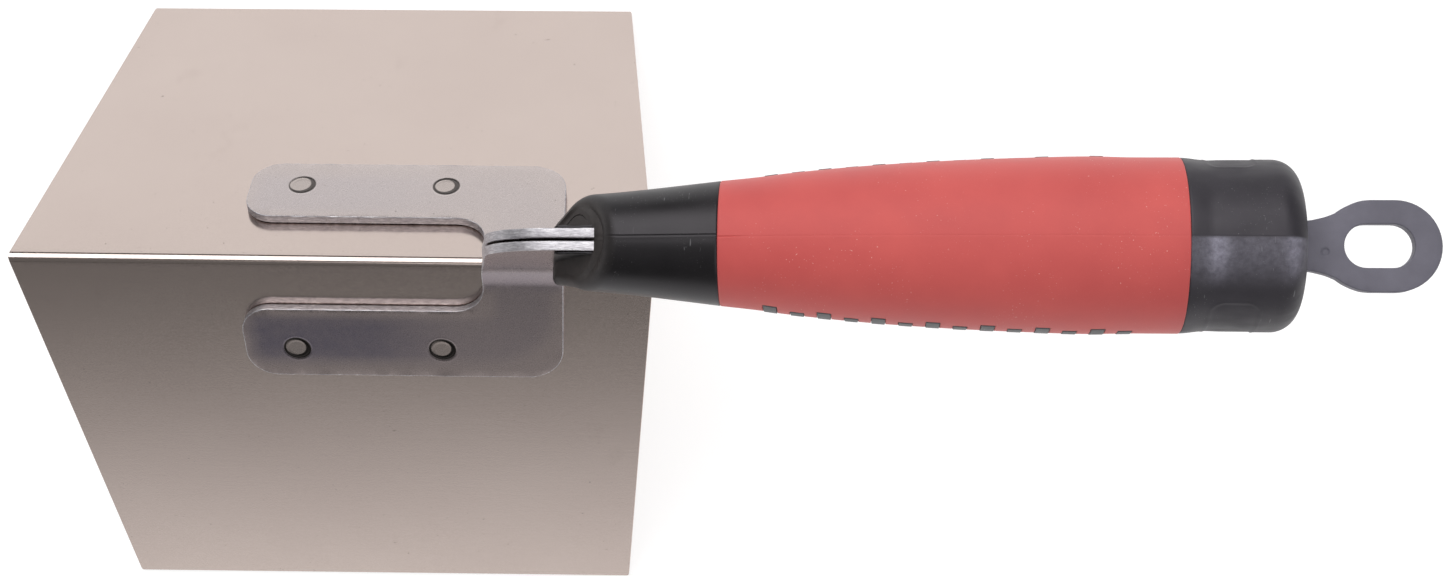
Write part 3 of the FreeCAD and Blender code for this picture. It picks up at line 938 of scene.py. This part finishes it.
def collar_piece():
    """Thin flash of the moulding that runs up both flanks of the tang; its black also stands in for the
    shade in the gap where the tang goes into the nose.
    """
    outline = rounded_outline([
        (CHIN_X, CHIN_Z + 1.0, 0), (CHIN_X + 2.5, 37.6, 1.0), (FACE_X - 0.6, 38.7, 0),
        (FACE_X + 1.0, 38.2, 0), (KNEE_X + 1.0, KNEE_Z, 0), (CHIN_X + 1.0, CHIN_Z + 1.0, 0)])
    sides = []
    for side, label in ((1.0, "left"), (-1.0, "right")):
        sides.append(plate_piece("core_collar_" + label, outline, [], 0.5, 0.12,
                                 lambda px, pz, h, k=side: place(px, k * (Y_OUT + 0.03 + h), pz),
                                 [core_black, core_black], pitch=1.5, burr=0.1))
    return sides


BAR_X = [BAR_FIRST + (BAR_LAST - BAR_FIRST) * i / (BAR_COUNT - 1) for i in range(BAR_COUNT)]


def grip_columns(r):
    """Angles round the grip, with level lines at fixed heights beside the bars."""
    heights = [0.0, 0.9, 1.8]
    for half in (BAR_SHORT / 2.0, BAR_TALL / 2.0):
        heights += [half + d for d in (-0.3, -0.02, 0.10, 0.25, 0.6)]
    side = [math.asin(z / r) for z in heights]
    side = [-a for a in reversed(side[1:])] + side
    reach = side[-1]
    seam_side = math.radians(90.0 - SEAM_STEPS[-1])
    crest = [math.radians(90.0 - d) for d in reversed(SEAM_STEPS)]
    count = 26

    def quarter(start):
        return [start + (seam_side - start) * k / count for k in range(1, count)] + crest

    over = quarter(reach - LEFT_LEAN) + [math.pi - a for a in reversed(quarter(reach)[:-1])]
    under = [math.pi + a for a in quarter(reach)]
    under += [2 * math.pi - a for a in reversed(quarter(reach + LEFT_LEAN)[:-1])]
    return [a - LEFT_LEAN for a in side] + over + [math.pi - a for a in reversed(side)] + under


def bar_half(i):
    return (BAR_SHORT if i % 2 else BAR_TALL) / 2.0


def in_bar(x, z):
    """Whether a point of the skin lies over a bar, with the recess's clearance."""
    return any(abs(x - b) < BAR_WIDE / 2.0 + 0.06 and abs(z) < bar_half(i) + 0.06
               for i, b in enumerate(BAR_X))


END_EASE, BORE_R, RECESS = 0.16, SPINDLE_R + 0.05, 0.5
GRIP_ENDS = (0.0, 0.0, 0.05, END_EASE, 0.35, 0.9)


def grip_piece():
    """The sleeve, its first and last rows down in the bore, recessed where the bars come up."""
    xs = [NOSE_REAR + d for d in GRIP_ENDS] + [GRIP_REAR - d for d in GRIP_ENDS]
    x = NOSE_REAR + 1.8
    while x < GRIP_REAR - 1.2:
        if all(abs(x - b) > BAR_WIDE / 2.0 + 0.45 for b in BAR_X):
            xs.append(x)
        x += 0.9
    for b in BAR_X:
        for d in (0.0, 0.6, *(BAR_WIDE / 2.0 + e for e in (-0.25, 0.02, 0.12, 0.3))):
            xs += [b - d, b + d]
    xs = sorted(xs)
    rows = []
    for k, x in enumerate(xs):
        if k in (0, len(xs) - 1):
            rows.append([about_axis(x, BORE_R, a) for a in grip_columns(GRIP[0][1])])
            continue
        r = smooth_table(GRIP, x)
        r -= END_EASE * max(0.0, 1.0 - min(x - NOSE_REAR, GRIP_REAR - x) / END_EASE) ** 2
        depth = 0.09 if x < NOSE_REAR + 4 else 0.02       # the mould line is plain only in front
        row = []
        for a in grip_columns(r):
            z = r * math.sin(a + (LEFT_LEAN if math.cos(a) > 0 else 0.0))
            rr = r + seam(a % (2 * math.pi), r, depth)
            if abs(math.cos(a)) > 0.7 and in_bar(x, z):
                rr -= RECESS
            row.append(about_axis(x, rr, a))
        rows.append(row)
    obj = tube_piece("grip_skin", rows, grip_red, 42.0, closed=False)
    bm = bmesh.new()
    bm.from_mesh(obj.data)
    ends = [e for e in bm.edges if e.is_boundary]
    bmesh.ops.bridge_loops(bm, edges=ends)
    bmesh.ops.recalc_face_normals(bm, faces=bm.faces)
    bm.to_mesh(obj.data)
    bm.free()
    return obj


# How far a bar's root, rim and top stand out from the skin of the grip
BAR_ROOT, BAR_RIM, BAR_PROUD = -1.2, -0.04, 0.12


def inlay_piece():
    """The core's bars that come up flush through both sides of the grip."""
    verts, faces = [], []
    for side, lean in ((1, LEFT_LEAN), (-1, 0.0)):
        c, s = math.cos(lean), math.sin(lean)
        for k, b in enumerate(BAR_X):
            base = len(verts)
            hx, hz = BAR_WIDE / 2.0, bar_half(k)
            xs = [-hx, -hx, -hx + 0.08, -hx + 0.25, 0.0, hx - 0.25, hx - 0.08, hx, hx]
            zs = [-hz, -hz, -hz + 0.08, -hz + 0.25]
            zs += [-hz + 0.25 + (2 * hz - 0.5) * j / 10 for j in range(1, 10)]
            zs += [hz - 0.25, hz - 0.08, hz, hz]
            for i, dx in enumerate(xs):
                for j, z in enumerate(zs):
                    r = smooth_table(GRIP, b + dx)
                    y = math.sqrt(r * r - z * z)
                    deep = i in (0, len(xs) - 1) or j in (0, len(zs) - 1)
                    rim = i in (1, len(xs) - 2) or j in (1, len(zs) - 2)
                    y += BAR_ROOT if deep else BAR_RIM if rim else BAR_PROUD
                    verts.append(place_axis(b + dx, side * y * c + z * s, z * c - side * y * s))
            m = len(zs)
            for i in range(len(xs) - 1):
                for j in range(m - 1):
                    faces.append((base + i * m + j, base + i * m + j + 1,
                                  base + (i + 1) * m + j + 1, base + (i + 1) * m + j))
            around = [base + j for j in range(m)] + [base + i * m + m - 1 for i in range(1, len(xs))]
            around += [base + (len(xs) - 1) * m + j for j in range(m - 2, -1, -1)]
            around += [base + i * m for i in range(len(xs) - 2, 0, -1)]
            faces.append(tuple(around))
    return new_piece("core_inlays", verts, faces, [inlay_grey], 60.0)


CAP_FRONT_R, CAP_R, CAP_ROUND, CAP_DOME = 15.55, 15.25, 4.6, 0.9
CAP_TURN = CAP_END - CAP_DOME - CAP_ROUND


def cap_profile():
    """(x, radius) from the mouth: a slight waist, a rounded end and a shallow dome."""
    pts = [(GRIP_REAR + dx, CAP_FRONT_R - dr) for dx, dr in ((0.0, 0.18), (0.06, 0.05), (0.2, 0.0))]
    x = GRIP_REAR + 0.5
    while x < CAP_TURN - 0.2:
        t = (x - GRIP_REAR) / (CAP_TURN - GRIP_REAR)
        waist = 0.10 * math.exp(-((x - GRIP_REAR - 4.0) / 2.2) ** 2)
        pts.append((x, CAP_FRONT_R + (CAP_R - CAP_FRONT_R) * smoothstep(0.0, 0.28, t) - waist))
        x += 0.32
    for k in range(17):
        a = math.radians(90.0 * k / 16)
        pts.append((CAP_TURN + CAP_ROUND * math.sin(a), CAP_R - CAP_ROUND * (1 - math.cos(a))))
    flat_r = CAP_R - CAP_ROUND
    for k in range(1, 12):
        r = flat_r * (1 - k / 12)
        pts.append((CAP_END - CAP_DOME * (r / flat_r) ** 2, r))
    return pts


def panel(x, arc, centre_x, half_x, half_arc, corner=2.6):
    """Distance from the outline of a round-cornered panel, in mm, below 0 inside."""
    dx, dy = abs(x - centre_x) - half_x + corner, abs(arc) - half_arc + corner
    return math.hypot(max(dx, 0.0), max(dy, 0.0)) + min(max(dx, dy), 0.0) - corner


# middles of the film's two strongest patches, and its level between them; the film is partly scuffing,
# partly painted sheen
FRONT_SCUFF_SHEEN_X, REAR_SCUFF_SHEEN_X, SCUFF_SHEEN_FILM = 226.3, 239.2, 0.34


def scuff_and_sheen(x, deg):
    """How strong the cap's pale film is beside its mould line, strongest near both rims: partly
    scuffing, partly painted sheen.
    """
    off = 90.0 - deg
    around = smoothstep(-1.0, 2.0, off) * (1.0 - smoothstep(10.0, 38.0, off))
    along = math.exp(-((x - FRONT_SCUFF_SHEEN_X) / 1.8) ** 2)
    along += 0.8 * math.exp(-((x - REAR_SCUFF_SHEEN_X) / 1.5) ** 2)
    return around * (SCUFF_SHEEN_FILM + (1.0 - SCUFF_SHEEN_FILM) * along)


# The blank panels: their middle behind the grip, half length, and (angle, half height) of each
PANEL_BACK, PANEL_HALF, PANELS = 8.4, 4.3, ((180.0, 8.8), (0.0, 11.6))
LINE_HIGH, LINE_WIDE, PANEL_DEEP = 0.07, 0.16, 0.08


def cap_piece():
    """The cap, with its mould line and a raised outline round a sunk panel on each side."""
    angles = round_angles(360)
    rows = []
    for x, r in cap_profile():
        row = []
        for a in angles:
            rr = r
            if r > 10:
                rr += seam(a, r, 0.04)
            for mid, reach in PANELS:
                off = (math.degrees(a) - mid + 180.0) % 360.0 - 180.0
                if abs(off) < 75 and r > 14:
                    d = panel(x, math.radians(off) * r, GRIP_REAR + PANEL_BACK, PANEL_HALF, reach)
                    rr += LINE_HIGH * math.exp(-(d / LINE_WIDE) ** 2)
                    rr -= PANEL_DEEP * (1 - smoothstep(-0.5, 0.0, d))
            row.append(place_axis(x, -rr * math.cos(a), rr * math.sin(a)))
        rows.append(row)
    obj = tube_piece("cap_shell", rows, cap_black, 60.0)
    add_mask(obj, [scuff_and_sheen(x, math.degrees(a)) for x, _ in cap_profile() for a in angles] + [0.0, 0.0])
    return obj


# Hang tab: thickness, end radius, half width of its neck, and where it is rooted in the cap.
# The end and the slot each have two arc centres on the axis, front then rear.
TAB_T, TAB_R, TAB_NECK, TAB_ROOT = 2.6, 8.13, 4.4, 236.2
TAB_C, HOLE_C, HOLE_R = (255.0, 259.3), (254.3, 258.8), 3.88
TAB_FLARE = (
    (TAB_ROOT, TAB_NECK), (243.4, TAB_NECK), (244.6, 4.5), (245.8, 4.75), (247.0, 5.05),
    (248.0, 5.4), (249.0, 5.85), (250.0, 6.55), (251.0, 7.08), (252.2, 7.6), (253.6, 8.0),
    (255.0, TAB_R),
)


def tab_piece():
    """The flat ring, with a small round mark in front of its slot."""
    outer = arc_points(TAB_C[1], 0.0, TAB_R, -math.pi / 2, math.pi, 26)
    outer += [Vector((TAB_C[1] + (TAB_C[0] - TAB_C[1]) * k / 4, TAB_R)) for k in range(4)]
    upper = []
    x = TAB_C[0]
    while x > TAB_ROOT:
        upper.append(Vector((x, smooth_table(TAB_FLARE, x))))
        x -= 0.45
    upper.append(Vector((TAB_ROOT, TAB_NECK)))
    outer += upper
    outer += [Vector((TAB_ROOT, TAB_NECK - 2 * TAB_NECK * k / 6)) for k in range(1, 6)]
    outer += [Vector((p.x, -p.y)) for p in reversed(upper)]
    outer += [Vector((TAB_C[0] + (TAB_C[1] - TAB_C[0]) * k / 4, -TAB_R)) for k in range(1, 4)]
    hole = []
    for centre, start, end in ((HOLE_C[1], -math.pi / 2, HOLE_R), (HOLE_C[0], math.pi / 2, -HOLE_R)):
        hole += arc_points(centre, 0.0, HOLE_R, start, math.pi, 18) + [Vector((centre, end))]
    mark = Vector((TAB_C[0] - 7.9, -1.1))

    def dent(x, y):
        r = math.hypot(x - mark.x, y - mark.y)
        return 0.18 * (1 - smoothstep(0.45, 0.8, r)) - 0.03 * math.exp(-((r - 0.95) / 0.15) ** 2)

    extra = ring_points(mark.x, mark.y, (0.25, 0.45, 0.55, 0.65, 0.8, 0.95, 1.15), 24)
    return plate_piece("hang_ring", outer, [hole], TAB_T, 0.22,
                       lambda x, y, h: place_axis(x, y, h - TAB_T / 2.0),
                       [tab_black, tab_black], extra, dent, 1.5)


# ---------- pieces

blade = blade_piece()
left_plate = bracket_piece("bracket_left_plate", 1, plate_left)
right_plate = bracket_piece("bracket_right_plate", -1, plate_right_shaded)
nose = nose_piece()
left_collar, right_collar = collar_piece()
inlays = inlay_piece()
grip = grip_piece()
cap = cap_piece()
tab = tab_piece()

for piece, node, slot_name in (
        (blade, "blade", "blade"),
        (left_plate, "bracket_left", "bracket"),
        (right_plate, "bracket_right", "bracket"),
        (nose, "handle_core", "core"),
        (left_collar, "handle_core", "core"),
        (right_collar, "handle_core", "core"),
        (inlays, "handle_core", "core"),
        (grip, "grip_sleeve", "grip"),
        (cap, "end_cap", "cap"),
        (tab, "hang_tab", "tab")):
    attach(piece, "root")
    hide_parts(node)

weld_metal = steel("weld_metal", (0.40, 0.37, 0.36), (0.30, 0.28, 0.27), 0.4, 0.6)
for node in ("leaf_welds", "tang_welds"):
    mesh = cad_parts[node].data
    for i in range(len(mesh.materials)):
        mesh.materials[i] = weld_metal


# ---------- stage

FLOOR_R, FLOOR_DROP = 2.6, 0.0004


def build_stage():
    """A round white table just below the blade's edges, lit from within to stay white."""
    m, nt, bsdf = material("floor_white", {
        "Roughness": 0.9, "Specular IOR Level": 0.1, "Emission Color": (1.0, 1.0, 1.0, 1.0),
        "Emission Strength": 0.75})
    tone = ramp(nt, noise(nt, coords(nt), 3.0, 2.0), [(0.3, grey(0.38)), (0.7, grey(0.40))])
    nt.links.new(tone, bsdf.inputs["Base Color"])
    bm = bmesh.new()
    bmesh.ops.create_circle(bm, cap_ends=True, segments=96, radius=FLOOR_R)
    mesh = bpy.data.meshes.new("floor")
    bm.to_mesh(mesh)
    bm.free()
    mesh.materials.append(m)
    floor = bpy.data.objects.new("floor", mesh)
    floor.location = (0, 0, cad_box[0][2] - FLOOR_DROP)
    link(floor)


def area_light(name, location, target, size, power):
    """A square white light."""
    data = bpy.data.lights.new(name, "AREA")
    data.shape = "RECTANGLE"
    data.size, data.size_y = size, size
    data.energy = power
    obj = bpy.data.objects.new(name, data)
    obj.location = location
    obj.rotation_euler = (Vector(target) - Vector(location)).to_track_quat("-Z", "Y").to_euler()
    link(obj)


def build_world():
    """A dim studio, paler near the horizon where the table ends."""
    world = bpy.data.worlds.new("studio")
    world.use_nodes = True
    nt = world.node_tree
    tc = nt.nodes.new("ShaderNodeTexCoord")
    sep = nt.nodes.new("ShaderNodeSeparateXYZ")
    nt.links.new(tc.outputs["Generated"], sep.inputs[0])
    tone = ramp(nt, remap(nt, sep.outputs["Z"], -0.1, 0.4, 0.0, 1.0), [
        (0.0, grey(0.95)), (0.20, grey(0.85)), (0.26, grey(0.42)), (0.32, grey(0.13)),
        (0.6, grey(0.11)), (1.0, grey(0.18))])
    nt.links.new(tone, nt.nodes["Background"].inputs["Color"])
    bpy.context.scene.world = world


# The camera fitted to the photo: place, view direction, up, and focal length over image width
CAM_AT = (0.01489, -0.04315, 0.48936)
CAM_LOOK = (-0.0194, 0.08933, -0.99581)
CAM_UP = (-0.00961, 0.99594, 0.08953)
FOCAL_RATIO = 2200.0 / 1445.0
SENSOR = 36.0


def build_camera():
    data = bpy.data.cameras.new("camera")
    data.sensor_fit = "HORIZONTAL"
    data.sensor_width = SENSOR
    data.lens = SENSOR * FOCAL_RATIO
    data.clip_start, data.clip_end = 0.01, 20.0
    look = Vector(CAM_LOOK).normalized()
    right = look.cross(Vector(CAM_UP)).normalized()
    up = right.cross(look)
    rot = Matrix((right, up, -look)).transposed().to_4x4()
    cam = bpy.data.objects.new("camera", data)
    cam.matrix_world = Matrix.Translation(Vector(CAM_AT)) @ rot
    link(cam)
    bpy.context.scene.camera = cam


build_stage()
build_world()
build_camera()
area_light("main_box", (-0.28, 0.78, 1.32), (0, 0, 0.05), 1.6, 22.0)
area_light("fill_box", (0.55, -0.60, 1.25), (0, 0, 0.07), 1.6, 7.0)

scene = bpy.context.scene
scene.view_settings.view_transform = "Standard"
scene.view_settings.look = "None"
scene.view_settings.exposure = 0.0
